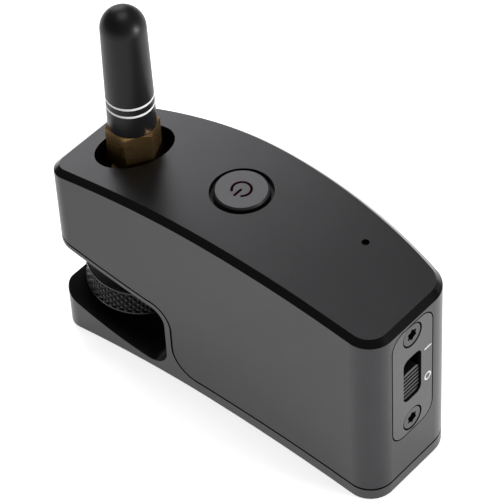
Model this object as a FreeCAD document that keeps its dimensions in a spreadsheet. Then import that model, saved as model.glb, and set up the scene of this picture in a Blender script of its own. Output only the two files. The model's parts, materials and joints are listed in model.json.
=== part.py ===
import FreeCAD, Part
import math
import os
import Sketcher
from FreeCAD import Vector, Rotation, Placement

# Clip-on wireless transmitter: a curved aluminium block with a stub antenna,
# a round power button, an end panel with a slide switch, and a screw clamp
# whose jaw and base plate are one machined frame.
# Lengths in millimetres.  Modelling coordinates: x from the antenna end face
# (0) to the switch end face (body_len), y from the concave side towards the
# convex side, z up from the base.  Every piece is then placed by
# (-origin_x, -origin_y, 0), which puts the origin under the box centre.

doc = FreeCAD.newDocument("clip_transmitter")
sheet = doc.addObject("Spreadsheet::Sheet", "Dims")

CELLS = [
    # overall block
    ("body_len", 68.3), ("near_left_y", -0.19), ("near_mid_x", 32.0), ("near_mid_y", 1.76),
    ("near_right_y", 0.386), ("far_left_y", 19.83), ("far_mid_x", 28.78), ("far_mid_y", 27.11),
    ("far_right_y", 20.07), ("crown_x", 37.6), ("crown_z", 37.8), ("crown_rad", 555.0),
    ("corner_nl", 3.2), ("corner_nr", 4.4), ("corner_fr", 5.4), ("corner_fl", 3.2),
    ("top_chamfer", 1.05), ("blank_height", 39.0), ("frame_height", 22.6),
    ("origin_x", 33.8035), ("origin_y", 13.647),
    # split line between housing and clamp frame
    ("plate_thick", 2.2), ("split_gap", 0.4), ("liner_thick", 0.8), ("wall_end_x", 24.4),
    ("slot_end_x", 22.9), ("s_centre_x", 29.3), ("s_centre_z", 7.5),
    # housing inside
    ("wall", 2.2), ("cavity_right_x", 62.3), ("cavity_top_z", 34.3),
    ("boss_floor_z", 29.3), ("pocket_floor_z", 30.8), ("pocket_major", 6.92), ("pocket_minor", 4.88),
    ("pocket_angle", 65.0), ("boss_wall", 1.3),
    ("ant_x", 8.97), ("ant_y", 12.28),
    # power button
    ("btn_x", 30.13), ("btn_y", 14.67), ("moat_rad", 5.34), ("moat_floor_z", 35.9),
    ("btn_rad", 4.6), ("btn_guide_rad", 4.67), ("btn_top_z", 38.2), ("btn_flange_rad", 5.6),
    ("btn_flange_z", 33.2), ("btn_shoulder_z", 34.2), ("btn_web", 0.6), ("guide_rad", 3.1),
    ("guide_bottom_z", 33.6), ("icon_rad", 1.85), ("icon_stroke", 0.48), ("icon_bar", 1.95),
    ("seal_out", 5.3), ("seal_in", 4.75), ("seal_height", 0.6),
    # status window
    ("led_x", 52.9), ("led_y", 18.1), ("led_hole_rad", 0.66), ("led_rad", 0.62), ("led_top_z", 36.9),
    ("led_flange_rad", 1.3), ("led_flange_thick", 0.9),
    # end panel
    ("panel_y", 10.5), ("panel_z", 23.02), ("panel_width", 9.96), ("panel_height", 24.36),
    ("panel_thick", 2.0), ("panel_gap", 0.24), ("panel_corner", 2.8),
    ("switch_win_width", 4.5), ("switch_win_height", 9.7), ("switch_win_y", 10.45), ("switch_win_z", 23.3),
    ("screw_upper_z", 32.9), ("screw_lower_z", 13.45), ("screw_y", 10.46), ("screw_sink_rad", 2.35),
    ("screw_head_rad", 2.05), ("screw_shank_rad", 1.0), ("screw_length", 5.6), ("screw_recess", 0.1),
    # switch
    ("knob_width", 4.0), ("knob_height", 5.9), ("knob_bottom_z", 18.75), ("knob_depth", 3.3),
    ("knob_face_x", 67.95), ("switch_depth", 4.8), ("switch_width", 5.8), ("switch_height", 14.6),
    ("switch_front_x", 64.3),
    # board and inside
    ("board_top_z", 29.4), ("board_thick", 1.2), ("board_x", 16.6), ("board_y", 4.8), ("board_len", 42.6),
    ("board_width", 15.0), ("tact_side", 5.2), ("tact_height", 2.7), ("tact_rad", 1.3),
    ("shield_len", 7.2), ("shield_width", 9.0), ("shield_height", 2.0),
    ("cell_len", 25.2), ("cell_thick", 7.0), ("cell_height", 22.0), ("cell_x", 33.9), ("cell_y", 5.3),
    ("cell_z", 3.5), ("foam_thick", 1.0),
    # clamp
    ("clamp_x", 9.16), ("clamp_y", 11.2), ("clamp_z", 13.24), ("clamp_tilt", 5.0),
    ("wheel_rad", 9.43), ("wheel_thick", 5.46), ("wheel_chamfer", 0.2), ("stud_rad", 2.45),
    ("stud_top", 9.2), ("bush_bore", 2.5), ("bush_rad", 3.4), ("bush_low", 3.5), ("bush_top", 9.6),
    ("tower_rad", 5.0), ("pad_rad", 4.0), ("pad_thick", 1.2), ("pad_cup_rad", 3.2), ("pad_cup_thick", 0.9),
    ("stud_chamfer", 0.4), ("pad_chamfer", 0.3), ("base_chamfer", 0.12), ("btn_chamfer", 0.3),
    # antenna and its connector
    ("nut_flats", 8.0), ("nut_bottom_z", 35.1), ("nut_top_z", 42.6), ("nut_angle", 54.8),
    ("nut_bore", 3.23), ("nut_lip_z", 41.4), ("nut_lip_bore", 2.37),
    ("barrel_rad", 3.175), ("barrel_top_z", 40.4), ("barrel_bore", 2.36), ("flange_rad", 4.3),
    ("flange_thick", 1.2), ("insulator_rad", 2.05), ("insulator_top_z", 38.5), ("pin_hole", 0.52),
    ("ferrule_rad", 2.3), ("pin_rad", 0.46), ("former_rad", 1.5), ("former_top_z", 59.0),
    ("sleeve_base_z", 42.7), ("sleeve_base_rad", 4.08), ("sleeve_top_rad", 3.76), ("sleeve_tip_z", 66.65),
    ("ring_low_z", 47.15), ("ring_high_z", 48.75), ("ring_width", 0.42), ("ring_depth", 0.3),
    # sockets on the convex side
    ("jack_x", 29.3), ("jack_z", 18.0), ("jack_bore", 1.78), ("jack_nose_rad", 2.95), ("jack_side", 7.6),
    ("jack_body_len", 12.0), ("port_x", 40.5), ("port_width", 9.0), ("port_height", 3.2), ("port_depth", 7.6),
    # base screws
    ("base_screw_rad", 1.0), ("base_head_rad", 1.9), ("base_screw_len", 7.0), ("base_boss_rad", 2.6),
]
for row, (alias, value) in enumerate(CELLS, start=1):
    sheet.set("A%d" % row, alias)
    sheet.set("B%d" % row, repr(float(value)))
    sheet.setAlias("B%d" % row, alias)
doc.recompute()


def v(alias):
    return float(getattr(sheet, alias))


PIECES = []


def home():
    return Placement(Vector(-v("origin_x"), -v("origin_y"), 0), Rotation())


def body(label):
    b = doc.addObject("PartDesign::Body", label)
    b.Label = label
    PIECES.append(b)
    return b


def sketch(b, name, role="XY_Plane", offset=None):
    s = b.newObject("Sketcher::SketchObject", name)
    plane = [f for f in b.Origin.OriginFeatures if f.Role == role][0]
    s.AttachmentSupport = [(plane, "")]
    s.MapMode = "FlatFace"
    if offset is not None:
        s.AttachmentOffset = offset
    return s


def xy(z):
    return Placement(Vector(0, 0, z), Rotation())


def closed(s, pts):
    """Closed polygon through pts."""
    n = len(pts)
    first = s.GeometryCount
    for i in range(n):
        a, c = pts[i], pts[(i + 1) % n]
        s.addGeometry(Part.LineSegment(Vector(a[0], a[1], 0), Vector(c[0], c[1], 0)), False)
    for i in range(n):
        s.addConstraint(Sketcher.Constraint("Coincident", first + i, 2, first + (i + 1) % n, 1))
    return first


def rect(s, x0, y0, w, d, walias=None, dalias=None):
    """Axis-aligned rectangle from its lower left corner, with bound sides."""
    g = closed(s, [(x0, y0), (x0 + w, y0), (x0 + w, y0 + d), (x0, y0 + d)])
    s.addConstraint(Sketcher.Constraint("Horizontal", g))
    s.addConstraint(Sketcher.Constraint("Vertical", g + 1))
    s.addConstraint(Sketcher.Constraint("Horizontal", g + 2))
    s.addConstraint(Sketcher.Constraint("Vertical", g + 3))
    s.addConstraint(Sketcher.Constraint("DistanceX", -1, 1, g, 1, x0))
    s.addConstraint(Sketcher.Constraint("DistanceY", -1, 1, g, 1, y0))
    cw = s.addConstraint(Sketcher.Constraint("DistanceX", g, 1, g, 2, w))
    cd = s.addConstraint(Sketcher.Constraint("DistanceY", g + 1, 1, g + 1, 2, d))
    if walias:
        s.setExpression("Constraints[%d]" % cw, "Dims." + walias)
    if dalias:
        s.setExpression("Constraints[%d]" % cd, "Dims." + dalias)
    return g


def circle(s, x0, y0, radius, alias=None):
    g = s.addGeometry(Part.Circle(Vector(x0, y0, 0), Vector(0, 0, 1), radius), False)
    if abs(x0) < 1e-9 and abs(y0) < 1e-9:
        s.addConstraint(Sketcher.Constraint("Coincident", g, 3, -1, 1))
    else:
        s.addConstraint(Sketcher.Constraint("DistanceX", -1, 1, g, 3, x0))
        s.addConstraint(Sketcher.Constraint("DistanceY", -1, 1, g, 3, y0))
    c = s.addConstraint(Sketcher.Constraint("Radius", g, radius))
    if alias:
        s.setExpression("Constraints[%d]" % c, "Dims." + alias)
    return g


def path(s, items):
    """Closed path.  items: ('L', p) line to p, ('A', m, p) arc through m to p."""
    start = items[0]
    cur = start
    for it in items[1:]:
        if it[0] == "L":
            s.addGeometry(Part.LineSegment(Vector(cur[0], cur[1], 0), Vector(it[1][0], it[1][1], 0)), False)
            cur = it[1]
        else:
            s.addGeometry(Part.Arc(Vector(cur[0], cur[1], 0), Vector(it[1][0], it[1][1], 0),
                                   Vector(it[2][0], it[2][1], 0)), False)
            cur = it[2]


def pad(b, s, length=None, expr=None, reverse=False, midplane=False, name="Pad"):
    p = b.newObject("PartDesign::Pad", name)
    p.Profile = s
    p.Length = length if length is not None else 1.0
    if expr:
        p.setExpression("Length", expr)
    p.Reversed = reverse
    if midplane:
        p.SideType = "Symmetric" if hasattr(p, "SideType") else p.SideType
    b.Tip = p
    doc.recompute()
    return p


def pocket(b, s, length=None, expr=None, reverse=False, through=False, symmetric=False, name="Pocket"):
    before = b.Shape.Volume
    p = b.newObject("PartDesign::Pocket", name)
    p.Profile = s
    if through:
        p.Type = "ThroughAll"
    else:
        p.Type = "Length"
        p.Length = length if length is not None else 1.0
        if expr:
            p.setExpression("Length", expr)
    if symmetric:
        if hasattr(p, "SideType"):
            p.SideType = "Symmetric"
        else:
            p.Midplane = True
    p.Reversed = reverse
    b.Tip = p
    doc.recompute()
    if not b.Shape.Volume < before - 1e-6:
        raise RuntimeError("%s in %s cut nothing" % (name, b.Label))
    return p


def edges_where(feature, test):
    return ["Edge%d" % (i + 1) for i, e in enumerate(feature.Shape.Edges) if test(e)]


def fillet(b, feature, names, expr, value, name="Fillet"):
    f = b.newObject("PartDesign::Fillet", name)
    f.Base = (feature, names)
    f.Radius = value
    f.setExpression("Radius", expr)
    b.Tip = f
    doc.recompute()
    if "Invalid" in f.State:
        raise RuntimeError("%s failed" % name)
    return f


def chamfer(b, feature, names, expr, value, name="Chamfer"):
    f = b.newObject("PartDesign::Chamfer", name)
    f.Base = (feature, names)
    f.Size = value
    f.setExpression("Size", expr)
    b.Tip = f
    doc.recompute()
    if "Invalid" in f.State:
        raise RuntimeError("%s failed" % name)
    return f


# ---------------------------------------------------------------- plan outline
def arc_centre(xm, ym, xe, ye):
    """Centre y of the arc with its crest at (xm, ym) that passes (xe, ye)."""
    d = ye - ym
    r = ((xe - xm) ** 2 + d * d) / (2 * abs(d))
    return ym - r if d < 0 else ym + r, r


def side_curve(x, near=True, inset=0.0):
    if near:
        xm, ym = v("near_mid_x"), v("near_mid_y")
        xe, ye = (0.0, v("near_left_y")) if x <= xm else (v("body_len"), v("near_right_y"))
    else:
        xm, ym = v("far_mid_x"), v("far_mid_y")
        xe, ye = (0.0, v("far_left_y")) if x <= xm else (v("body_len"), v("far_right_y"))
    cy, r = arc_centre(xm, ym, xe, ye)
    r = r + inset if near else r - inset
    return cy + math.sqrt(r * r - (x - xm) ** 2)


def outline(s, x0, x1, inset=0.0):
    """Closed plan outline between x0 and x1, inset from the side walls."""
    nm, fm = v("near_mid_x"), v("far_mid_x")

    def n(x):
        return (x, side_curve(x, True, inset))

    def f(x):
        return (x, side_curve(x, False, inset))
    items = [n(x0), ("A", n((x0 + nm) / 2), n(nm)), ("A", n((x1 + nm) / 2), n(x1)), ("L", f(x1)),
             ("A", f((x1 + fm) / 2), f(fm)), ("A", f((x0 + fm) / 2), f(x0)), ("L", n(x0))]
    path(s, items)


def corner_names(feature, height, which):
    """Vertical edges at the named plan corner."""
    ll = v("body_len")
    spots = {"nl": (0, v("near_left_y")), "nr": (ll, v("near_right_y")),
             "fr": (ll, v("far_right_y")), "fl": (0, v("far_left_y"))}
    px, py = spots[which]

    def test(e):
        c = e.CenterOfMass
        return abs(c.x - px) < 0.05 and abs(c.y - py) < 0.05 and abs(e.Length - height) < 0.05
    return edges_where(feature, test)


def blank(b, height_alias):
    s = sketch(b, b.Label + "_plan")
    outline(s, 0.0, v("body_len"))
    p = pad(b, s, v(height_alias), "Dims." + height_alias, name=b.Label + "_block")
    last = p
    for which in ("nl", "nr", "fr", "fl"):
        names = corner_names(last, v(height_alias), which)
        last = fillet(b, last, names, "Dims.corner_" + which, v("corner_" + which), b.Label + "_corner_" + which)
    return last


# side view (sketch x = x, sketch y = z on the XZ plane)
SLOT_CEIL = [(-3.0, 21.75), (8.4, 17.65), (19.4, 15.1)]     # underside of the slot ceiling
SLOT_FLOOR = [(-3.0, 10.25), (8.3, 4.1), (18.6, 1.62)]      # upper face of the jaw


def shifted(p, dz):
    return (p[0], p[1] + dz)


def split_items(rise, side, bottom, big, corner):
    """Upper boundary shared by the housing and frame cuts, as path items.

    rise: lift of the ceiling line, side: x of the wall beside the slot,
    bottom: z of the plate line, big: radius of the S bend, corner: bend at
    the slot's inner upper corner."""
    c0, c1, c2 = [shifted(p, rise) for p in SLOT_CEIL]
    cz = v("s_centre_z")
    sx = v("s_centre_x")
    a = (side, c2[1] - corner)
    mid = (side - corner * (1 - math.cos(math.radians(45))) + 0.06, c2[1] - corner * (1 - math.sin(math.radians(45))) + 0.05)
    s_mid = (sx - big * math.cos(math.radians(45)), cz - big * math.sin(math.radians(45)))
    return c0, [("A", c1, c2), ("A", mid, a), ("L", (side, cz)), ("A", s_mid, (sx, bottom))]


# ---------------------------------------------------------------- housing
housing = body("housing")
last = blank(housing, "blank_height")
# crowned top: remove everything above one long arc
s = sketch(housing, "crown_cut", "XZ_Plane")
cx, cz, cr = v("crown_x"), v("crown_z"), v("crown_rad")


def crown(x, drop=0.0):
    return cz - cr + math.sqrt(cr * cr - (x - cx) ** 2) - drop


path(s, [(-5.0, crown(-5.0)), ("A", (cx, cz), (v("body_len") + 5, crown(v("body_len") + 5))),
         ("L", (v("body_len") + 5, 45.0)), ("L", (-5.0, 45.0)), ("L", (-5.0, crown(-5.0)))])
pocket(housing, s, 120.0, symmetric=True, name="crown")
# polished bevel round the top edge
tops = edges_where(housing.Tip, lambda e: e.BoundBox.ZMin > 35.9 and e.CenterOfMass.z > 36.0)
chamfer(housing, housing.Tip, tops, "Dims.top_chamfer", v("top_chamfer"), "top_bevel")
# lower side: the housing stops at the split line
s = sketch(housing, "split_cut", "XZ_Plane")
gap = v("split_gap")
start, items = split_items(v("liner_thick") + gap, v("wall_end_x"), v("plate_thick") + gap,
                           v("s_centre_z") - v("plate_thick") - gap, 4.9)
path(s, [start] + items + [("L", (75.0, v("plate_thick") + gap)), ("L", (75.0, -3.0)), ("L", (-3.0, -3.0)),
                           ("L", start)])
pocket(housing, s, 120.0, symmetric=True, name="split")
# hollow inside
s = sketch(housing, "cavity_plan", "XY_Plane", xy(-1.0))
outline(s, v("wall"), v("cavity_right_x"), v("wall"))
pocket(housing, s, v("cavity_top_z") + 1.0, "Dims.cavity_top_z + 1", reverse=True, name="cavity")
# well for the antenna nut: an oval boss under the top, then the oval pocket
rot = Placement(Vector(v("ant_x"), v("ant_y"), v("boss_floor_z")), Rotation(Vector(0, 0, 1), v("pocket_angle")))
s = sketch(housing, "well_boss", "XY_Plane", rot)
s.addGeometry(Part.Ellipse(Vector(0, 0, 0), v("pocket_major") + v("boss_wall"), v("pocket_minor") + v("boss_wall")), False)
pad(housing, s, v("cavity_top_z") - v("boss_floor_z") + 0.4, "Dims.cavity_top_z - Dims.boss_floor_z + 0.4", name="well_boss_pad")
rot = Placement(Vector(v("ant_x"), v("ant_y"), v("pocket_floor_z")), Rotation(Vector(0, 0, 1), v("pocket_angle")))
s = sketch(housing, "well_oval", "XY_Plane", rot)
s.addGeometry(Part.Ellipse(Vector(0, 0, 0), v("pocket_major"), v("pocket_minor")), False)
pocket(housing, s, 12.0, reverse=True, name="well")
s = sketch(housing, "socket_hole", "XY_Plane", xy(v("boss_floor_z") - 1))
circle(s, v("ant_x"), v("ant_y"), v("barrel_rad"), "barrel_rad")
pocket(housing, s, 3.0, reverse=True, name="socket_bore")
# power button: wide moat above, close guide below
s = sketch(housing, "moat", "XY_Plane", xy(v("moat_floor_z")))
circle(s, v("btn_x"), v("btn_y"), v("moat_rad"), "moat_rad")
pocket(housing, s, 5.0, reverse=True, name="moat_cut")
s = sketch(housing, "button_guide", "XY_Plane", xy(v("cavity_top_z") - 1))
circle(s, v("btn_x"), v("btn_y"), v("btn_guide_rad"), "btn_guide_rad")
pocket(housing, s, 4.0, reverse=True, name="button_guide_cut")
# status window
s = sketch(housing, "led_hole", "XY_Plane", xy(v("cavity_top_z") - 1))
circle(s, v("led_x"), v("led_y"), v("led_hole_rad"), "led_hole_rad")
pocket(housing, s, 6.0, reverse=True, name="led_cut")


def round_rect(s, cy, cz_, w, hgt, r):
    y0, y1, z0, z1 = cy - w / 2, cy + w / 2, cz_ - hgt / 2, cz_ + hgt / 2
    k = r * (1 - math.cos(math.radians(45)))
    path(s, [(y0 + r, z0), ("L", (y1 - r, z0)), ("A", (y1 - k, z0 + k), (y1, z0 + r)), ("L", (y1, z1 - r)),
             ("A", (y1 - k, z1 - k), (y1 - r, z1)), ("L", (y0 + r, z1)), ("A", (y0 + k, z1 - k), (y0, z1 - r)),
             ("L", (y0, z0 + r)), ("A", (y0 + k, z0 + k), (y0 + r, z0))])


def yz(x):
    return Placement(Vector(0, 0, x), Rotation())


# seat for the end panel, window behind it and two threaded holes
s = sketch(housing, "panel_seat", "YZ_Plane", yz(v("body_len") - v("panel_thick") - 0.02))
g = 2 * v("panel_gap")
round_rect(s, v("panel_y"), v("panel_z"), v("panel_width") + g, v("panel_height") + g, v("panel_corner") + v("panel_gap"))
pocket(housing, s, 5.0, reverse=True, name="panel_seat_cut")
s = sketch(housing, "switch_room", "YZ_Plane", yz(v("cavity_right_x") - 1))
rect(s, v("switch_win_y") - 3.0, v("switch_win_z") - 7.5, 6.0, 15.0)
pocket(housing, s, 6.0, reverse=True, name="switch_room_cut")
s = sketch(housing, "panel_threads", "YZ_Plane", yz(v("cavity_right_x") - 1))
for z in ("screw_upper_z", "screw_lower_z"):
    circle(s, v("screw_y"), v(z), v("screw_shank_rad") + 0.05)
pocket(housing, s, 6.0, reverse=True, name="panel_thread_cut")
# bosses for the base screws: two beside the walls, two in the thick end wall
BASE_SCREWS = [(31.2, 6.3), (31.2, 22.7), (65.2, 6.2), (65.2, 15.6)]
s = sketch(housing, "base_bosses", "XY_Plane", xy(v("plate_thick") + v("split_gap")))
for (bx, by) in BASE_SCREWS[:2]:
    circle(s, bx, by, v("base_boss_rad"), "base_boss_rad")
pad(housing, s, 8.4, name="base_boss_pad")
s = sketch(housing, "base_threads", "XY_Plane", xy(v("plate_thick")))
for (bx, by) in BASE_SCREWS:
    circle(s, bx, by, v("base_screw_rad"), "base_screw_rad")
pocket(housing, s, 6.4, reverse=True, name="base_thread_cut")
# posts that carry the board
BOARD_POSTS = [(38.6, 7.2), (57.6, 7.2), (21.5, 18.0)]
s = sketch(housing, "board_posts", "XY_Plane", xy(v("board_top_z")))
for (bx, by) in BOARD_POSTS:
    circle(s, bx, by, 1.9)
pad(housing, s, v("cavity_top_z") - v("board_top_z") + 0.3, "Dims.cavity_top_z - Dims.board_top_z + 0.3", name="board_post_pad")
s = sketch(housing, "board_threads", "XY_Plane", xy(v("board_top_z") - 1))
for (bx, by) in BOARD_POSTS:
    circle(s, bx, by, 0.8)
pocket(housing, s, 5.0, reverse=True, name="board_thread_cut")
# input jack nose and charge port through the convex wall
s = sketch(housing, "jack_hole", "XZ_Plane", Placement(Vector(0, 0, -18.0), Rotation()))
circle(s, v("jack_x"), v("jack_z"), v("jack_nose_rad"), "jack_nose_rad")
pocket(housing, s, 14.0, reverse=False, name="jack_cut")
s = sketch(housing, "port_hole", "XZ_Plane", Placement(Vector(0, 0, -20.5), Rotation()))
pw, ph = v("port_width") + 0.2, v("port_height") + 0.2
r = ph / 2 - 0.05
pcz = v("board_top_z") + v("port_height") / 2
round_rect(s, v("port_x"), pcz, pw, ph, r)
pocket(housing, s, 10.0, reverse=False, name="port_cut")
housing.Placement = home()

# ---------------------------------------------------------------- clamp frame
frame = body("clamp_frame")
last = blank(frame, "frame_height")
s = sketch(frame, "frame_upper", "XZ_Plane")
start, items = split_items(v("liner_thick"), v("wall_end_x") - gap, v("plate_thick"),
                           v("s_centre_z") - v("plate_thick"), 4.5)
path(s, [start] + items + [("L", (75.0, v("plate_thick"))), ("L", (75.0, 30.0)), ("L", (-3.0, 30.0)), ("L", start)])
pocket(frame, s, 120.0, symmetric=True, name="frame_upper_cut")
s = sketch(frame, "slot", "XZ_Plane")
ex = v("slot_end_x")
f0, f1, f2 = SLOT_FLOOR
c0, c1, c2 = SLOT_CEIL
path(s, [f0, ("A", f1, f2), ("A", (ex - 1.15, f2[1] + 1.05), (ex, f2[1] + 4.2)), ("L", (ex, c2[1] - 3.6)),
         ("A", (ex - 1.0, c2[1] - 0.95), c2), ("A", c1, c0), ("L", f0)])
pocket(frame, s, 120.0, symmetric=True, name="slot_cut")
# tower for the threaded bush, square to the slot
tilt = v("clamp_tilt")
axis = Vector(math.sin(math.radians(tilt)), 0, math.cos(math.radians(tilt)))
foot = Vector(v("clamp_x"), v("clamp_y"), v("clamp_z"))
trot = Rotation(Vector(0, 1, 0), tilt)


def on_axis(d):
    return Placement(foot + axis * d, trot)


s = sketch(frame, "tower", "XY_Plane", on_axis(v("bush_low") + 0.3))
circle(s, 0, 0, v("tower_rad"), "tower_rad")
pad(frame, s, v("bush_top") - v("bush_low") - 0.5, "Dims.bush_top - Dims.bush_low - 0.5", name="tower_pad")
s = sketch(frame, "bush_hole", "XY_Plane", on_axis(1.0))
circle(s, 0, 0, v("bush_rad"), "bush_rad")
pocket(frame, s, 12.0, reverse=True, name="bush_cut")
# countersunk base screw holes
s = sketch(frame, "base_holes", "XY_Plane", xy(-1))
for (bx, by) in BASE_SCREWS:
    circle(s, bx, by, v("base_screw_rad") + 0.1)
pocket(frame, s, 6.0, reverse=True, name="base_hole_cut")
s = sketch(frame, "base_sinks", "XY_Plane", xy(-0.1))
for (bx, by) in BASE_SCREWS:
    circle(s, bx, by, v("base_head_rad") + 0.1)
pocket(frame, s, 1.2, reverse=True, name="base_sink_cut")
# eased lower edge
low = edges_where(frame.Tip, lambda e: e.BoundBox.ZMax < 0.01 and e.BoundBox.DiagonalLength > 3.0
                  and not (e.Curve.TypeId == "Part::GeomCircle" and e.Curve.Radius < 2.6))
chamfer(frame, frame.Tip, low, "Dims.base_chamfer", v("base_chamfer"), "base_edge")
frame.Placement = home()

# ---------------------------------------------------------------- end panel
panel = body("end_panel")
s = sketch(panel, "panel_face", "YZ_Plane", yz(v("body_len") - v("panel_thick")))
round_rect(s, v("panel_y"), v("panel_z"), v("panel_width"), v("panel_height"), v("panel_corner"))
pad(panel, s, v("panel_thick"), "Dims.panel_thick", name="panel_plate")
s = sketch(panel, "switch_window", "YZ_Plane", yz(v("body_len") - v("panel_thick") - 1))
round_rect(s, v("switch_win_y"), v("switch_win_z"), v("switch_win_width"), v("switch_win_height"), 1.3)
pocket(panel, s, 4.0, reverse=True, name="switch_window_cut")
s = sketch(panel, "screw_holes", "YZ_Plane", yz(v("body_len") - v("panel_thick") - 1))
for z in ("screw_upper_z", "screw_lower_z"):
    circle(s, v("screw_y"), v(z), v("screw_shank_rad") + 0.15)
pocket(panel, s, 4.0, reverse=True, name="screw_hole_cut")
s = sketch(panel, "screw_sinks", "YZ_Plane", yz(v("body_len") - 1.0))
for z in ("screw_upper_z", "screw_lower_z"):
    circle(s, v("screw_y"), v(z), v("screw_sink_rad"), "screw_sink_rad")
pocket(panel, s, 3.0, reverse=True, name="screw_sink_cut")
panel.Placement = home()


def feature(label, shape, place=None):
    o = doc.addObject("Part::Feature", label)
    o.Label = label
    o.Shape = shape
    o.Placement = place if place is not None else home()
    PIECES.append(o)
    return o


def cyl(x, y, z, r, length, direction=Vector(0, 0, 1)):
    return Part.makeCylinder(r, length, Vector(x, y, z), direction)


def cone(x, y, z, r1, r2, length, direction=Vector(0, 0, 1)):
    return Part.makeCone(r1, r2, length, Vector(x, y, z), direction)


def prism(points, vec):
    w = Part.makePolygon([Vector(*p) for p in points] + [Vector(*points[0])])
    return Part.Face(w).extrude(Vector(*vec))


def compound(shapes):
    return Part.makeCompound(shapes)


# two identical countersunk screws with a six-lobe socket
def lobe_socket(px, py, pz, r, depth, direction):
    """Six-lobe recess as a core and six small cylinders."""
    tool = Part.makeCylinder(r * 0.78, depth, Vector(0, 0, 0))
    for k in range(6):
        a = math.radians(60 * k)
        tool = tool.fuse(Part.makeCylinder(r * 0.27, depth, Vector(r * 0.73 * math.cos(a), r * 0.73 * math.sin(a), 0)))
    tool = tool.removeSplitter()
    tool.Placement = Placement(Vector(px, py, pz), Rotation(Vector(0, 0, 1), direction))
    return tool


def panel_screw(zc):
    xf = v("body_len") - v("screw_recess")
    hr, sr = v("screw_head_rad"), v("screw_shank_rad")
    face = Vector(-1, 0, 0)
    head = cyl(xf, v("screw_y"), zc, hr, 0.85, face)
    shank = cyl(xf - 0.8, v("screw_y"), zc, sr, v("screw_length") - 0.8, face)
    body_ = head.fuse(shank).removeSplitter()
    return body_.cut(lobe_socket(xf + 0.01, v("screw_y"), zc, 1.15, 0.75, face))


feature("panel_screws", compound([panel_screw(v("screw_upper_z")), panel_screw(v("screw_lower_z"))]))

# ---------------------------------------------------------------- slide switch
sw = body("switch_body")
s = sketch(sw, "switch_case", "YZ_Plane", yz(v("switch_front_x") - v("switch_depth")))
rect(s, v("switch_win_y") - v("switch_width") / 2, v("switch_win_z") - v("switch_height") / 2,
     v("switch_width"), v("switch_height"), "switch_width", "switch_height")
pad(sw, s, v("switch_depth"), "Dims.switch_depth", name="switch_case_pad")
s = sketch(sw, "switch_track", "YZ_Plane", yz(v("switch_front_x") - 1.8))
rect(s, v("switch_win_y") - 1.1, v("knob_bottom_z") + 1.4, 2.2, 6.4)
pocket(sw, s, 3.0, reverse=True, name="switch_track_cut")
sw.Placement = home()

kn = body("switch_slider")
s = sketch(kn, "knob_block", "YZ_Plane", yz(v("knob_face_x") - v("knob_depth")))
round_rect(s, v("switch_win_y"), v("knob_bottom_z") + v("knob_height") / 2, v("knob_width"), v("knob_height"), 1.0)
pad(kn, s, v("knob_depth"), "Dims.knob_depth", name="knob_pad")
s = sketch(kn, "knob_ribs", "XZ_Plane", Placement(Vector(0, 0, -20.0), Rotation()))
kx = v("knob_face_x")
n_grooves = 6
pitch = v("knob_height") / (n_grooves + 1)
for i in range(n_grooves):
    zc = v("knob_bottom_z") + pitch * (i + 1)
    closed(s, [(kx + 0.1, zc - 0.26), (kx + 0.1, zc + 0.26), (kx - 0.5, zc + 0.12), (kx - 0.5, zc - 0.12)])
pocket(kn, s, 120.0, symmetric=True, name="knob_rib_cut")
s = sketch(kn, "knob_stem", "YZ_Plane", yz(v("switch_front_x") - 1.4))
rect(s, v("switch_win_y") - 1.0, v("knob_bottom_z") + 1.6, 2.0, 3.0)
pad(kn, s, 1.4 + v("knob_face_x") - v("knob_depth") - v("switch_front_x") + 0.2, name="knob_stem_pad")
kn.Placement = home()

# ---------------------------------------------------------------- power button
bx, by = v("btn_x"), v("btn_y")
btn = body("power_button")
s = sketch(btn, "button_flange", "XY_Plane", xy(v("btn_flange_z")))
circle(s, bx, by, v("btn_flange_rad"), "btn_flange_rad")
pad(btn, s, v("btn_shoulder_z") - v("btn_flange_z"), "Dims.btn_shoulder_z - Dims.btn_flange_z", name="button_flange_pad")
s = sketch(btn, "button_cap", "XY_Plane", xy(v("btn_flange_z")))
circle(s, bx, by, v("btn_rad"), "btn_rad")
pad(btn, s, v("btn_top_z") - v("btn_flange_z"), "Dims.btn_top_z - Dims.btn_flange_z", name="button_cap_pad")
rim = edges_where(btn.Tip, lambda e: e.CenterOfMass.z > v("btn_top_z") - 0.01)
chamfer(btn, btn.Tip, rim, "Dims.btn_chamfer", v("btn_chamfer"), "button_edge")
s = sketch(btn, "button_hollow", "XY_Plane", xy(v("btn_flange_z") - 1))
circle(s, bx, by, v("guide_rad") + 0.02)
pocket(btn, s, v("btn_top_z") - v("btn_web") - v("btn_flange_z") + 1, "Dims.btn_top_z - Dims.btn_web - Dims.btn_flange_z + 1",
       reverse=True, name="button_hollow_cut")


def icon_solids(z0, z1, grow=0.0):
    """Open ring and bar of the power symbol; the bar points to -y."""
    r, w = v("icon_rad"), v("icon_stroke")
    ring = cyl(bx, by, z0, r + grow, z1 - z0).cut(cyl(bx, by, z0 - 1, r - w - grow, z1 - z0 + 2))
    half = math.radians(33)
    far_ = 6.0
    wedge = prism([(bx, by, z0 - 1), (bx - far_ * math.sin(half), by - far_ * math.cos(half), z0 - 1),
                   (bx + far_ * math.sin(half), by - far_ * math.cos(half), z0 - 1)], (0, 0, z1 - z0 + 2))
    ring = ring.cut(wedge)
    bar = Part.makeBox(w + 2 * grow, v("icon_bar") + grow, z1 - z0, Vector(bx - w / 2 - grow, by - v("icon_bar") - grow, z0))
    return ring, bar


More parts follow.
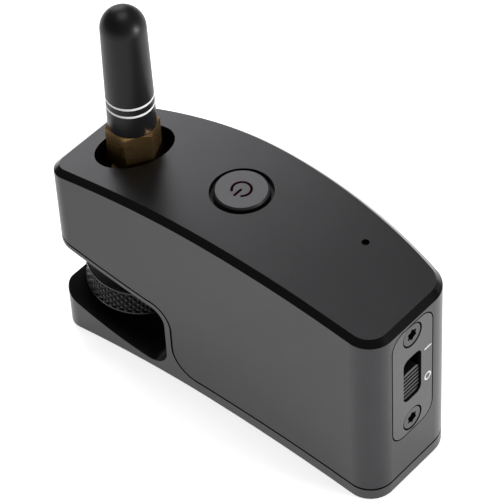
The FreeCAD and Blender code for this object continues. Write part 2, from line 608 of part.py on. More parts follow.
web_z = v("btn_top_z") - v("btn_web")
ring, bar = icon_solids(web_z - 0.5, v("btn_top_z") + 0.5)
cutter = doc.addObject("Part::Feature", "icon_cutter")
cutter.Shape = compound([ring, bar])
cap = doc.addObject("Part::Cut", "power_button_pierced")
cap.Base = btn
cap.Tool = cutter
doc.recompute()
PIECES.remove(btn)
btn.Label = "power_button_blank"
cap.Label = "power_button"
cap.Placement = home()
PIECES.append(cap)

ring, bar = icon_solids(web_z - 0.2, v("btn_top_z") - 0.04)
disc = cyl(bx, by, v("guide_bottom_z"), v("guide_rad"), web_z - v("guide_bottom_z"))
feature("button_light_guide", disc.fuse([ring, bar]).removeSplitter())
feature("button_seal", cyl(bx, by, v("moat_floor_z"), v("seal_out"), v("seal_height")).cut(
    cyl(bx, by, v("moat_floor_z") - 1, v("seal_in"), v("seal_height") + 2)))

# ---------------------------------------------------------------- status window
lx, ly = v("led_x"), v("led_y")
feature("status_light_pipe", cyl(lx, ly, v("cavity_top_z") - v("led_flange_thick"), v("led_flange_rad"), v("led_flange_thick")).fuse(
    cyl(lx, ly, v("cavity_top_z") - 0.2, v("led_rad"), v("led_top_z") - v("cavity_top_z") + 0.2)).removeSplitter())
bt = v("board_top_z")
led = body("status_led")
s = sketch(led, "led_case", "XY_Plane", xy(bt))
rect(s, lx - 1.0, ly - 0.6, 2.0, 1.2)
pad(led, s, 0.8, name="led_pad")
led.Placement = home()

# ---------------------------------------------------------------- electronics
board = body("circuit_board")
s = sketch(board, "board_outline", "XY_Plane", xy(bt - v("board_thick")))
x0, y0 = v("board_x"), v("board_y")
x1, y1 = x0 + v("board_len"), y0 + v("board_width")
closed(s, [(x0, y0), (x1, y0), (x1, y1), (46.0, y1), (46.0, 23.4), (35.0, 23.4), (35.0, y1), (x0, y1)])
pad(board, s, v("board_thick"), "Dims.board_thick", name="board_pad")
s = sketch(board, "board_holes", "XY_Plane", xy(bt - v("board_thick") - 1))
for (px, py) in BOARD_POSTS:
    circle(s, px, py, 0.9)
pocket(board, s, 4.0, reverse=True, name="board_hole_cut")
board.Placement = home()

heads = []
for (px, py) in BOARD_POSTS:
    heads.append(cyl(px, py, bt - v("board_thick") - 0.9, 1.5, 0.9).fuse(
        cyl(px, py, bt - v("board_thick") - 0.5, 0.78, 0.5 + v("board_thick") + 3.2)).removeSplitter())
feature("board_screws", compound(heads))

tact = body("tact_switch")
s = sketch(tact, "tact_case", "XY_Plane", xy(bt))
rect(s, bx - v("tact_side") / 2, by - v("tact_side") / 2, v("tact_side"), v("tact_side"), "tact_side", "tact_side")
pad(tact, s, v("tact_height"), "Dims.tact_height", name="tact_pad")
s = sketch(tact, "tact_plunger", "XY_Plane", xy(bt + v("tact_height") - 0.1))
circle(s, bx, by, v("tact_rad"), "tact_rad")
pad(tact, s, 0.9, name="tact_plunger_pad")
tact.Placement = home()

shield = body("rf_shield")
s = sketch(shield, "shield_plan", "XY_Plane", xy(bt))
rect(s, 17.4, 5.4, v("shield_len"), v("shield_width"), "shield_len", "shield_width")
pad(shield, s, v("shield_height"), "Dims.shield_height", name="shield_pad")
shield.Placement = home()


def pillow(x0, y0, z0, dx, dy, dz, r):
    b_ = Part.makeBox(dx, dy, dz, Vector(x0, y0, z0))
    up = [e for e in b_.Edges if e.BoundBox.XLength > dx - 0.01]
    return b_.makeFillet(r, up)


cells = []
for k in range(2):
    cells.append(pillow(v("cell_x"), v("cell_y") + k * (v("cell_thick") + 0.1), v("cell_z"),
                        v("cell_len"), v("cell_thick"), v("cell_height"), 1.2))
feature("battery_cells", compound(cells))
foams = [Part.makeBox(v("cell_len") - 2, 13.0, v("cell_z") - v("plate_thick") - 0.05, Vector(v("cell_x") + 1, v("cell_y") + 0.5, v("plate_thick") + 0.05)),
         Part.makeBox(v("cell_len") - 2, 9.5, 2.0, Vector(v("cell_x") + 1, v("cell_y") + 4.0, v("cell_z") + v("cell_height")))]
# relief for the board screw heads in the upper strip
for (px, py) in BOARD_POSTS:
    foams[1] = foams[1].cut(cyl(px, py, v("cell_z") + v("cell_height") - 1, 1.8, 5))
feature("battery_foam", compound(foams))

# ---------------------------------------------------------------- sockets on the convex side
jx, jz = v("jack_x"), v("jack_z")
yw = side_curve(jx, False) - v("wall")
ytip = side_curve(jx, False) - 0.12
side = v("jack_side")
jack = Part.makeBox(side, v("jack_body_len"), side, Vector(jx - side / 2, yw - 0.35 - v("jack_body_len"), jz - side / 2))
jack = jack.fuse(cyl(jx, yw - 0.6, jz, v("jack_nose_rad"), ytip - yw + 0.6, Vector(0, 1, 0))).removeSplitter()
jack = jack.cut(cyl(jx, ytip + 1, jz, v("jack_bore"), 11.5 + 1, Vector(0, -1, 0)))
feature("input_jack", jack)
port_y = side_curve(v("port_x") + v("port_width") / 2, False) - 0.25
px0 = v("port_x") - v("port_width") / 2


def stadium(xc, yc, zc, w, hgt, length):
    r_ = hgt / 2
    core = Part.makeBox(w - hgt, length, hgt, Vector(xc - (w - hgt) / 2, yc, zc - r_))
    a = Part.makeCylinder(r_, length, Vector(xc - (w - hgt) / 2, yc, zc), Vector(0, 1, 0))
    c_ = Part.makeCylinder(r_, length, Vector(xc + (w - hgt) / 2, yc, zc), Vector(0, 1, 0))
    return core.fuse([a, c_]).removeSplitter()


pz = bt + v("port_height") / 2
shell = stadium(v("port_x"), port_y - v("port_depth"), pz, v("port_width"), v("port_height"), v("port_depth"))
shell = shell.cut(stadium(v("port_x"), port_y - v("port_depth") + 1.0, pz, v("port_width") - 0.7, v("port_height") - 0.7, v("port_depth")))
tongue = Part.makeBox(6.4, 5.4, 0.7, Vector(v("port_x") - 3.2, port_y - v("port_depth") + 0.9, pz - 0.35))
feature("charge_port", shell.fuse(tongue).removeSplitter())

# ---------------------------------------------------------------- base screws
base_list = []
for (px, py) in BASE_SCREWS:
    one = cyl(px, py, 0.1, v("base_head_rad"), 0.95).fuse(cyl(px, py, 0.6, v("base_screw_rad") - 0.02, v("base_screw_len"))).removeSplitter()
    one = one.cut(lobe_socket(px, py, 0.09, 0.95, 0.7, Vector(0, 0, 1)))
    base_list.append(one)
feature("base_screws", compound(base_list))

# ---------------------------------------------------------------- clamp
def clamp_place():
    return Placement(Vector(-v("origin_x"), -v("origin_y"), 0) + foot, trot)


wheel = body("clamp_wheel")
s = sketch(wheel, "wheel_disc", "XY_Plane", xy(-v("wheel_thick")))
circle(s, 0, 0, v("wheel_rad"), "wheel_rad")
pad(wheel, s, v("wheel_thick"), "Dims.wheel_thick", name="wheel_pad")
rims = edges_where(wheel.Tip, lambda e: e.Length > 50)
chamfer(wheel, wheel.Tip, rims, "Dims.wheel_chamfer", v("wheel_chamfer"), "wheel_edges")
s = sketch(wheel, "wheel_hub", "XY_Plane", xy(-v("wheel_thick") - 1))
circle(s, 0, 0, v("stud_rad"), "stud_rad")
pocket(wheel, s, v("wheel_thick") + 3, reverse=True, name="wheel_hub_cut")
s = sketch(wheel, "wheel_dish", "XY_Plane", xy(-v("wheel_thick") - 1))
circle(s, 0, 0, v("pad_cup_rad") + 0.25)
pocket(wheel, s, 1 + v("pad_cup_thick") + 0.1, reverse=True, name="wheel_dish_cut")
wheel.Placement = clamp_place()

stud = body("clamp_screw")
s = sketch(stud, "stud_disc", "XY_Plane", xy(-v("wheel_thick") + v("pad_cup_thick") + 0.15))
circle(s, 0, 0, v("stud_rad"), "stud_rad")
pad(stud, s, v("stud_top") + v("wheel_thick") - v("pad_cup_thick") - 0.15,
    "Dims.stud_top + Dims.wheel_thick - Dims.pad_cup_thick - 0.15", name="stud_pad")
tip = edges_where(stud.Tip, lambda e: e.CenterOfMass.z > v("stud_top") - 0.01)
chamfer(stud, stud.Tip, tip, "Dims.stud_chamfer", v("stud_chamfer"), "stud_tip")
stud.Placement = clamp_place()

bush = body("clamp_bush")
s = sketch(bush, "bush_ring", "XY_Plane", xy(v("bush_low")))
circle(s, 0, 0, v("bush_rad"), "bush_rad")
circle(s, 0, 0, v("bush_bore"), "bush_bore")
pad(bush, s, v("bush_top") - v("bush_low"), "Dims.bush_top - Dims.bush_low", name="bush_pad")
bush.Placement = clamp_place()

cup = body("pad_cup")
s = sketch(cup, "cup_disc", "XY_Plane", xy(-v("wheel_thick") - 0.1))
circle(s, 0, 0, v("pad_cup_rad"), "pad_cup_rad")
pad(cup, s, v("pad_cup_thick"), "Dims.pad_cup_thick", name="cup_pad")
cup.Placement = clamp_place()
soft = body("clamp_pad")
s = sketch(soft, "soft_disc", "XY_Plane", xy(-v("wheel_thick") - 0.1 - v("pad_thick")))
circle(s, 0, 0, v("pad_rad"), "pad_rad")
pad(soft, s, v("pad_thick"), "Dims.pad_thick", name="soft_pad")
edge = edges_where(soft.Tip, lambda e: e.CenterOfMass.z < -v("wheel_thick") - 0.5 - v("pad_thick") / 2)
chamfer(soft, soft.Tip, edge, "Dims.pad_chamfer", v("pad_chamfer"), "soft_edge")
soft.Placement = clamp_place()

# ---------------------------------------------------------------- antenna
ax, ay = v("ant_x"), v("ant_y")


def ant_place():
    return Placement(Vector(ax - v("origin_x"), ay - v("origin_y"), 0), Rotation())


def revolve(label, pts, place):
    """Solid of revolution about z of an r-z polygon."""
    b = body(label)
    s_ = sketch(b, label + "_profile", "XZ_Plane")
    closed(s_, pts)
    r_ = b.newObject("PartDesign::Revolution", label + "_turn")
    r_.Profile = s_
    r_.ReferenceAxis = (s_, ["V_Axis"])
    r_.Angle = 360
    b.Tip = r_
    doc.recompute()
    b.Placement = place
    return b


# socket barrel with its flange in the well and a lock nut and washer below
fz = v("pocket_floor_z")
revolve("antenna_socket", [(v("insulator_rad"), fz - 4.3), (v("barrel_rad") - 0.02, fz - 4.3), (v("barrel_rad") - 0.02, fz), (v("flange_rad"), fz),
                    (v("flange_rad"), fz + v("flange_thick")), (v("barrel_rad"), fz + v("flange_thick")),
                    (v("barrel_rad"), v("barrel_top_z") - 0.3), (v("barrel_rad") - 0.3, v("barrel_top_z")),
                    (v("barrel_bore"), v("barrel_top_z")), (v("barrel_bore"), v("insulator_top_z")),
                    (v("insulator_rad"), v("insulator_top_z"))], ant_place())
revolve("socket_insulator", [(0, fz - 4.5), (v("insulator_rad"), fz - 4.5), (v("insulator_rad"), v("insulator_top_z")),
                             (v("pin_hole"), v("insulator_top_z")), (v("pin_hole"), v("insulator_top_z") - 4.2),
                             (0, v("insulator_top_z") - 4.2)], ant_place())
bz = v("boss_floor_z")
revolve("socket_washer", [(v("barrel_rad"), bz - 0.5), (4.6, bz - 0.5), (4.6, bz), (v("barrel_rad"), bz)], ant_place())
lock = body("socket_lock_nut")
s = sketch(lock, "lock_hex", "XY_Plane", xy(bz - 0.5 - 1.8))
hexr = 8.0 / math.sqrt(3)
closed(s, [(hexr * math.cos(math.radians(60 * k)), hexr * math.sin(math.radians(60 * k))) for k in range(6)])
circle(s, 0, 0, v("barrel_rad"), "barrel_rad")
pad(lock, s, 1.8, name="lock_pad")
lock.Placement = ant_place()

# coupling nut: 8 mm hexagon with bevelled upper corners
nut = body("antenna_nut")
s = sketch(nut, "nut_hex", "XY_Plane", xy(v("nut_bottom_z")))
hr = v("nut_flats") / math.sqrt(3)
na = v("nut_angle")
closed(s, [(hr * math.cos(math.radians(na + 60 * k)), hr * math.sin(math.radians(na + 60 * k))) for k in range(6)])
pad(nut, s, v("nut_top_z") - v("nut_bottom_z"), "Dims.nut_top_z - Dims.nut_bottom_z", name="nut_pad")
s = sketch(nut, "nut_bevel", "XZ_Plane")
zt = v("nut_top_z")
closed(s, [(3.95, zt + 0.05), (6.0, zt + 0.05), (6.0, zt - 1.3)])
gr = nut.newObject("PartDesign::Groove", "nut_bevel_cut")
gr.Profile = s
gr.ReferenceAxis = (s, ["V_Axis"])
gr.Angle = 360
nut.Tip = gr
doc.recompute()
s = sketch(nut, "nut_thread", "XY_Plane", xy(v("nut_bottom_z") - 1))
circle(s, 0, 0, v("nut_bore"), "nut_bore")
pocket(nut, s, v("nut_lip_z") - v("nut_bottom_z") + 1, "Dims.nut_lip_z - Dims.nut_bottom_z + 1", reverse=True, name="nut_thread_cut")
s = sketch(nut, "nut_lip", "XY_Plane", xy(v("nut_lip_z") - 1))
circle(s, 0, 0, v("nut_lip_bore"), "nut_lip_bore")
pocket(nut, s, 4.0, reverse=True, name="nut_lip_cut")
nut.Placement = ant_place()

it = v("insulator_top_z")
sb = v("sleeve_base_z")
revolve("antenna_core", [(0, it - 3.6), (v("pin_rad"), it - 3.6), (v("pin_rad"), it + 0.1), (v("ferrule_rad"), it + 0.1),
                         (v("ferrule_rad"), v("barrel_top_z") + 0.25), (3.0, v("barrel_top_z") + 0.25), (3.0, v("nut_lip_z") - 0.1),
                         (v("ferrule_rad"), v("nut_lip_z") - 0.1), (v("ferrule_rad"), sb + 4.0), (v("former_rad"), sb + 4.0),
                         (v("former_rad"), v("former_top_z")), (0, v("former_top_z"))], ant_place())

# rubber sleeve with two ring grooves and a domed tip
rt, rb, tz = v("sleeve_top_rad"), v("sleeve_base_rad"), v("sleeve_tip_z")
dome_z = tz - rt


def taper(z):
    return rb + (rt - rb) * (z - sb) / (dome_z - sb)


sleeve = body("antenna_sleeve")
s = sketch(sleeve, "sleeve_profile", "XZ_Plane")
rd = v("ring_depth")
pts = [(v("ferrule_rad"), sb), (taper(sb), sb)]
for key in ("ring_low_z", "ring_high_z"):
    z0, z1 = v(key) - v("ring_width") / 2, v(key) + v("ring_width") / 2
    pts += [(taper(z0), z0), (taper(z0) - rd, z0), (taper(z1) - rd, z1), (taper(z1), z1)]
pts += [(rt, dome_z)]
a45 = math.radians(45)
items = [pts[0]] + [("L", p) for p in pts[1:]]
items += [("A", (rt * math.cos(a45), dome_z + rt * math.sin(a45)), (0.0, tz)), ("L", (0.0, v("former_top_z"))),
          ("L", (v("former_rad"), v("former_top_z"))), ("L", (v("former_rad"), sb + 4.0)), ("L", (v("ferrule_rad"), sb + 4.0)),
          ("L", pts[0])]
path(s, items)
rv = sleeve.newObject("PartDesign::Revolution", "sleeve_turn")
rv.Profile = s
rv.ReferenceAxis = (s, ["V_Axis"])
rv.Angle = 360
sleeve.Tip = rv
doc.recompute()
sleeve.Placement = ant_place()

rings = []
for key in ("ring_low_z", "ring_high_z"):
    z0, z1 = v(key) - v("ring_width") / 2, v(key) + v("ring_width") / 2
    outer = Part.makeCone(taper(z0) + 0.03, taper(z1) + 0.03, z1 - z0, Vector(0, 0, z0))
    inner = Part.makeCone(taper(z0) - rd, taper(z1) - rd, z1 - z0, Vector(0, 0, z0))
    rings.append(outer.cut(inner))
feature("antenna_rings", compound(rings), ant_place())

# ---------------------------------------------------------------- check and write
doc.recompute()
for o in doc.Objects:
    for flag in ("Invalid", "Error"):
        if flag in o.State:
            raise RuntimeError("%s is %s" % (o.Label, flag))
names = [o.Label for o in PIECES]
if len(set(names)) != len(names):
    raise RuntimeError("labels repeat")
os.makedirs("parts", exist_ok=True)
box = FreeCAD.BoundBox()
for o in PIECES:
    shp = o.Shape
    if shp.isNull() or not shp.isValid():
        raise RuntimeError("%s has no valid shape" % o.Label)
    if not shp.Solids:
        raise RuntimeError("%s has no solid" % o.Label)
    box.add(shp.BoundBox)
    shp.exportStep(os.path.join("parts", o.Label + ".step"))
    print("%-20s solids %d volume %9.2f" % (o.Label, len(shp.Solids), shp.Volume))
print("box", [round(c, 3) for c in (box.XMin, box.XMax, box.YMin, box.YMax, box.ZMin, box.ZMax)])
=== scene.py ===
import bpy, bmesh, math, json
from mathutils import Vector, Matrix


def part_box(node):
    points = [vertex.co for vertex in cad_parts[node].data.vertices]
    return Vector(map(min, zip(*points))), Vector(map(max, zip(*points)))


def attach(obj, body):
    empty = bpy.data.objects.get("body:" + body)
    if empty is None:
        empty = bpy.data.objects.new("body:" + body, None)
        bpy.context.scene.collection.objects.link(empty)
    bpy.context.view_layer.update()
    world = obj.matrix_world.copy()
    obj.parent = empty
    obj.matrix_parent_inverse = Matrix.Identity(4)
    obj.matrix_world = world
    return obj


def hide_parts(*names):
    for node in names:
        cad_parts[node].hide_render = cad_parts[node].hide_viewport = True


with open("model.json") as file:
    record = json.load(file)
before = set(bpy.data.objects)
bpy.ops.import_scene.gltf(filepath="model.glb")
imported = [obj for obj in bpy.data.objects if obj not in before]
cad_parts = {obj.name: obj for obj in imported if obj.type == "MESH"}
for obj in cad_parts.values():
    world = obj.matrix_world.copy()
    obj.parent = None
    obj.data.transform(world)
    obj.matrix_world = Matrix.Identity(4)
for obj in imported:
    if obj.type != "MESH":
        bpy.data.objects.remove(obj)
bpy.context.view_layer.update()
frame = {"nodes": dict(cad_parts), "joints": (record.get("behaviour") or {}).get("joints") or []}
nodes = frame["nodes"]
MM = 0.001


def lo_hi(b):
    return Vector(b[0]), Vector(b[1])


# ------------------------------------------------------------------ materials
def new_mat(name):
    m = bpy.data.materials.new(name)
    m.use_nodes = True
    nt = m.node_tree
    bsdf = nt.nodes["Principled BSDF"]
    return m, nt, bsdf


def add_bump(nt, bsdf, scale, strength, detail=3.0, distance=0.00005, coords="Object", rough_var=None, base_rough=0.4):
    tc = nt.nodes.new("ShaderNodeTexCoord")
    no = nt.nodes.new("ShaderNodeTexNoise")
    no.inputs["Scale"].default_value = scale
    no.inputs["Detail"].default_value = detail
    bp = nt.nodes.new("ShaderNodeBump")
    bp.inputs["Strength"].default_value = strength
    bp.inputs["Distance"].default_value = distance
    nt.links.new(tc.outputs[coords], no.inputs["Vector"])
    nt.links.new(no.outputs["Fac"], bp.inputs["Height"])
    nt.links.new(bp.outputs["Normal"], bsdf.inputs["Normal"])
    if rough_var:
        n2 = nt.nodes.new("ShaderNodeTexNoise")
        n2.inputs["Scale"].default_value = scale * 0.12
        n2.inputs["Detail"].default_value = 4.0
        mr = nt.nodes.new("ShaderNodeMapRange")
        mr.inputs["To Min"].default_value = base_rough - rough_var
        mr.inputs["To Max"].default_value = base_rough + rough_var
        nt.links.new(tc.outputs[coords], n2.inputs["Vector"])
        nt.links.new(n2.outputs["Fac"], mr.inputs["Value"])
        nt.links.new(mr.outputs["Result"], bsdf.inputs["Roughness"])
    return tc, no, bp


def simple(name, color, rough, metallic=0.0, spec=0.5, bump=None, coat=0.0, rough_var=None):
    m, nt, b = new_mat(name)
    b.inputs["Base Color"].default_value = (*color, 1)
    b.inputs["Roughness"].default_value = rough
    b.inputs["Metallic"].default_value = metallic
    b.inputs["Specular IOR Level"].default_value = spec
    if coat:
        b.inputs["Coat Weight"].default_value = coat
        b.inputs["Coat Roughness"].default_value = 0.12
    if bump:
        add_bump(nt, b, bump[0], bump[1], rough_var=rough_var, base_rough=rough)
    return m


def anodised(name, color, rough, bevel_color, bevel_rough, zmin=None):
    """Bead-blasted anodised metal; faces that slope between the top and the
    sides above zmin are a smooth polished bevel."""
    m, nt, b = new_mat(name)
    b.inputs["Metallic"].default_value = 1.0
    b.inputs["Specular IOR Level"].default_value = 0.5
    tc = nt.nodes.new("ShaderNodeTexCoord")
    no = nt.nodes.new("ShaderNodeTexNoise")
    no.inputs["Scale"].default_value = 5200.0
    no.inputs["Detail"].default_value = 2.0
    nt.links.new(tc.outputs["Object"], no.inputs["Vector"])
    bp = nt.nodes.new("ShaderNodeBump")
    bp.inputs["Distance"].default_value = 0.00003
    nt.links.new(no.outputs["Fac"], bp.inputs["Height"])
    nt.links.new(bp.outputs["Normal"], b.inputs["Normal"])
    # soft mottling of the anodised colour
    n2 = nt.nodes.new("ShaderNodeTexNoise")
    n2.inputs["Scale"].default_value = 220.0
    n2.inputs["Detail"].default_value = 5.0
    nt.links.new(tc.outputs["Object"], n2.inputs["Vector"])
    ramp = nt.nodes.new("ShaderNodeMapRange")
    ramp.inputs["To Min"].default_value = 0.94
    ramp.inputs["To Max"].default_value = 1.06
    nt.links.new(n2.outputs["Fac"], ramp.inputs["Value"])
    mul = nt.nodes.new("ShaderNodeMix")
    mul.data_type = "RGBA"
    mul.blend_type = "MULTIPLY"
    mul.inputs["Factor"].default_value = 1.0
    mul.inputs[6].default_value = (*color, 1)
    nt.links.new(ramp.outputs["Result"], mul.inputs[7])
    if zmin is None:
        b.inputs["Roughness"].default_value = rough
        bp.inputs["Strength"].default_value = 0.35
        nt.links.new(mul.outputs[2], b.inputs["Base Color"])
        return m
    geo = nt.nodes.new("ShaderNodeNewGeometry")
    sep = nt.nodes.new("ShaderNodeSeparateXYZ")
    nt.links.new(geo.outputs["True Normal"], sep.inputs[0])
    sepp = nt.nodes.new("ShaderNodeSeparateXYZ")
    nt.links.new(tc.outputs["Object"], sepp.inputs[0])

    def math_node(op, a, bval):
        n = nt.nodes.new("ShaderNodeMath")
        n.operation = op
        if hasattr(a, "links"):
            nt.links.new(a, n.inputs[0])
        else:
            n.inputs[0].default_value = a
        if hasattr(bval, "links"):
            nt.links.new(bval, n.inputs[1])
        else:
            n.inputs[1].default_value = bval
        return n.outputs[0]
    up = math_node("GREATER_THAN", sep.outputs["Z"], 0.35)
    notflat = math_node("LESS_THAN", sep.outputs["Z"], 0.93)
    high = math_node("GREATER_THAN", sepp.outputs["Z"], zmin)
    mask = math_node("MULTIPLY", math_node("MULTIPLY", up, notflat), high)
    mixc = nt.nodes.new("ShaderNodeMix")
    mixc.data_type = "RGBA"
    nt.links.new(mask, mixc.inputs["Factor"])
    nt.links.new(mul.outputs[2], mixc.inputs[6])
    mixc.inputs[7].default_value = (*bevel_color, 1)
    nt.links.new(mixc.outputs[2], b.inputs["Base Color"])
    mr = nt.nodes.new("ShaderNodeMapRange")
    mr.inputs["To Min"].default_value = rough
    mr.inputs["To Max"].default_value = bevel_rough
    nt.links.new(mask, mr.inputs["Value"])
    nt.links.new(mr.outputs["Result"], b.inputs["Roughness"])
    ms = nt.nodes.new("ShaderNodeMapRange")
    ms.inputs["To Min"].default_value = 0.35
    ms.inputs["To Max"].default_value = 0.0
    nt.links.new(mask, ms.inputs["Value"])
    nt.links.new(ms.outputs["Result"], bp.inputs["Strength"])
    return m


M = {}
M["housing"] = anodised("housing_anodised", (0.056, 0.0555, 0.058), 0.33, (0.05, 0.05, 0.048), 0.17, 0.0345)
M["frame"] = anodised("frame_anodised", (0.074, 0.0735, 0.076), 0.34, (0, 0, 0), 0.2)
# painted light: the end panel keeps a lighter base colour than the housing so that the end face stays bright, standing
# in for the light that face catches
M["panel"] = anodised("panel_anodised_painted_light", (0.092, 0.089, 0.090), 0.34, (0, 0, 0), 0.2)
M["button"] = anodised("button_anodised", (0.108, 0.106, 0.111), 0.33, (0.05, 0.05, 0.05), 0.2)
M["screw"] = simple("screw_black", (0.06, 0.06, 0.06), 0.28, 0.9, bump=(4000, 0.1))
M["knob"] = simple("knob_black", (0.012, 0.012, 0.012), 0.42, 0.0, bump=(6000, 0.15))
M["steel"] = simple("plain_steel", (0.42, 0.42, 0.43), 0.3, 1.0, bump=(3000, 0.1), rough_var=0.05)
M["dark_steel"] = simple("dark_steel", (0.12, 0.12, 0.125), 0.3, 1.0, bump=(3000, 0.1))
M["icon"] = simple("icon_red", (0.012, 0.0006, 0.0012), 0.8, 0.0, spec=0.03, bump=(5000, 0.05))
M["rubber"] = simple("rubber_black", (0.010, 0.010, 0.010), 0.7, 0.0, bump=(3500, 0.3))
M["pipe"] = simple("smoked_pipe", (0.006, 0.006, 0.007), 0.12, 0.0, bump=(2500, 0.02))
M["led"] = simple("led_white", (0.75, 0.75, 0.7), 0.4, 0.0, bump=(2500, 0.02))
M["board"] = simple("solder_mask", (0.01, 0.09, 0.035), 0.3, 0.0, bump=(1200, 0.1))
M["plastic"] = simple("black_plastic", (0.02, 0.02, 0.02), 0.5, 0.0, bump=(4000, 0.15))
M["tin"] = simple("tinned", (0.5, 0.5, 0.5), 0.3, 1.0, bump=(1500, 0.15))
M["foil"] = simple("cell_foil", (0.5, 0.5, 0.52), 0.35, 1.0, bump=(500, 0.2))
M["foam"] = simple("foam", (0.02, 0.02, 0.02), 0.9, 0.0, bump=(2500, 0.6))
M["nickel"] = simple("nickel", (0.5, 0.49, 0.47), 0.2, 1.0, bump=(2500, 0.05))
M["gold"] = simple("gold_plate", (0.5, 0.34, 0.12), 0.25, 1.0, bump=(2500, 0.1))
M["ptfe"] = simple("ptfe", (0.8, 0.8, 0.78), 0.5, 0.0, bump=(2500, 0.05))
M["brass"] = simple("aged_brass", (0.50, 0.31, 0.13), 0.28, 0.96, bump=(1800, 0.2), rough_var=0.06)
M["sleeve"] = simple("sleeve_rubber", (0.008, 0.008, 0.009), 0.38, 0.0, spec=0.2, bump=(5000, 0.06), rough_var=0.04)
M["white"] = simple("ring_white", (0.85, 0.85, 0.85), 0.4, 0.0, bump=(2500, 0.02))
M["wheel"] = simple("wheel_black", (0.035, 0.035, 0.037), 0.32, 0.8, bump=(5000, 0.15))
M["ink"] = simple("legend_ink", (0.55, 0.54, 0.54), 0.5, 0.0, bump=(2500, 0.02))

ASSIGN = {
    "housing": "housing", "clamp_frame": "frame", "end_panel": "panel", "panel_screws": "screw",
    "switch_body": "steel", "switch_slider": "knob", "power_button": "button", "button_light_guide": "icon",
    "button_seal": "rubber", "status_light_pipe": "pipe", "status_led": "led", "circuit_board": "board",
    "board_screws": "steel", "tact_switch": "plastic", "rf_shield": "tin", "battery_cells": "foil",
    "battery_foam": "foam", "input_jack": "nickel", "charge_port": "steel", "base_screws": "screw",
    "clamp_wheel": "wheel", "clamp_screw": "dark_steel", "clamp_bush": "gold", "pad_cup": "dark_steel",
    "clamp_pad": "rubber", "antenna_socket": "gold", "socket_insulator": "ptfe", "socket_washer": "gold",
    "socket_lock_nut": "gold", "antenna_nut": "brass", "antenna_core": "gold", "antenna_sleeve": "sleeve",
    "antenna_rings": "white",
}
for name, key in ASSIGN.items():
    o = nodes[name]
    o.data.materials.clear()
    o.data.materials.append(M[key])

COL = bpy.data.collections.new("detail")
bpy.context.scene.collection.children.link(COL)


def obj_from(name, verts, faces, mat, smooth=False):
    me = bpy.data.meshes.new(name)
    me.from_pydata([tuple(v) for v in verts], [], faces)
    me.validate()
    o = bpy.data.objects.new(name, me)
    COL.objects.link(o)
    me.materials.append(mat)
    if smooth:
        for p in me.polygons:
            p.use_smooth = True
    return o


def sharp_smooth(o, deg=30):
    """Smooth shading with edges sharper than deg kept sharp."""
    me = o.data
    for p in me.polygons:
        p.use_smooth = True
    bm = bmesh.new()
    bm.from_mesh(me)
    lim = math.radians(deg)
    for e in bm.edges:
        if len(e.link_faces) == 2:
            e.smooth = e.calc_face_angle(0) < lim
        else:
            e.smooth = False
    bm.to_mesh(me)
    bm.free()


def lathe(name, profile, segs, mat, place=Matrix.Identity(4), closed=False, angle_offset=0.0, deg=30):
    """Surface of revolution about z of an (r, z) profile in metres; points
    with r = 0 become poles.  closed joins the profile's ends."""
    verts, rings = [], []
    for (r, z) in profile:
        if r < 1e-9:
            rings.append([len(verts)])
            verts.append(Vector((0, 0, z)))
        else:
            idx = []
            for k in range(segs):
                a = 2 * math.pi * k / segs + angle_offset
                idx.append(len(verts))
                verts.append(Vector((r * math.cos(a), r * math.sin(a), z)))
            rings.append(idx)
    faces = []
    n = len(rings)
    pairs = [(i, i + 1) for i in range(n - 1)] + ([(n - 1, 0)] if closed else [])
    for i, j in pairs:
        a, b = rings[i], rings[j]
        for k in range(segs):
            k2 = (k + 1) % segs
            if len(a) == 1 and len(b) == 1:
                continue
            if len(a) == 1:
                faces.append((a[0], b[k2], b[k]))
            elif len(b) == 1:
                faces.append((a[k], a[k2], b[0]))
            else:
                faces.append((a[k], a[k2], b[k2], b[k]))
    verts = [place @ v for v in verts]
    o = obj_from(name, verts, faces, mat)
    bm = bmesh.new()
    bm.from_mesh(o.data)
    bmesh.ops.recalc_face_normals(bm, faces=bm.faces)
    bm.to_mesh(o.data)
    bm.free()
    sharp_smooth(o, deg)
    return o


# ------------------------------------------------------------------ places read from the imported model
nlo, nhi = lo_hi(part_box("antenna_nut"))
ANT = Vector(((nlo.x + nhi.x) / 2, (nlo.y + nhi.y) / 2, 0))
slo, shi = lo_hi(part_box("antenna_sleeve"))
rlo, rhi = lo_hi(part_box("antenna_rings"))
ANT = Vector(((slo.x + shi.x) / 2, (slo.y + shi.y) / 2, 0))
clamp_joint = [j for j in frame["joints"] if j["name"] == "wheel_spin"][0]
FOOT = Vector(clamp_joint["pos_m"])
AXIS = Vector(clamp_joint["axis"]).normalized()

# ------------------------------------------------------------------ antenna sleeve and rings
base_z, tip_z = slo.z, shi.z
rb = (shi.x - slo.x) / 2
rt = 3.76 * MM
dome = tip_z - rt


def taper(z):
    return rb + (rt - rb) * (z - base_z) / (dome - base_z)


ring_w = 0.42 * MM
ring_zs = [rlo.z + ring_w / 2, rhi.z - ring_w / 2]
prof = [(2.32 * MM, base_z + 0.02 * MM), (rb - 0.25 * MM, base_z + 0.02 * MM), (rb - 0.08 * MM, base_z + 0.06 * MM), (rb - 0.01 * MM, base_z + 0.25 * MM)]
for rz in ring_zs:
    z0, z1 = rz - ring_w / 2, rz + ring_w / 2
    prof += [(taper(z0), z0 - 0.04 * MM), (taper(z0) - 0.04 * MM, z0), (taper(z0) - 0.2 * MM, z0), (taper(z1) - 0.2 * MM, z1), (taper(z1) - 0.04 * MM, z1), (taper(z1), z1 + 0.04 * MM)]
for k in range(1, 9):
    z = ring_zs[1] + (dome - ring_zs[1]) * k / 8
    prof.append((taper(z), z))
for k in range(1, 19):
    a = math.pi / 2 * k / 18
    prof.append((rt * math.cos(a) if k < 18 else 0.0, dome + rt * math.sin(a)))
place = Matrix.Translation(ANT)
sleeve = lathe("antenna_sleeve_skin", prof, 96, M["sleeve"], place, deg=40)
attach(sleeve, "antenna")
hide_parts("antenna_sleeve")
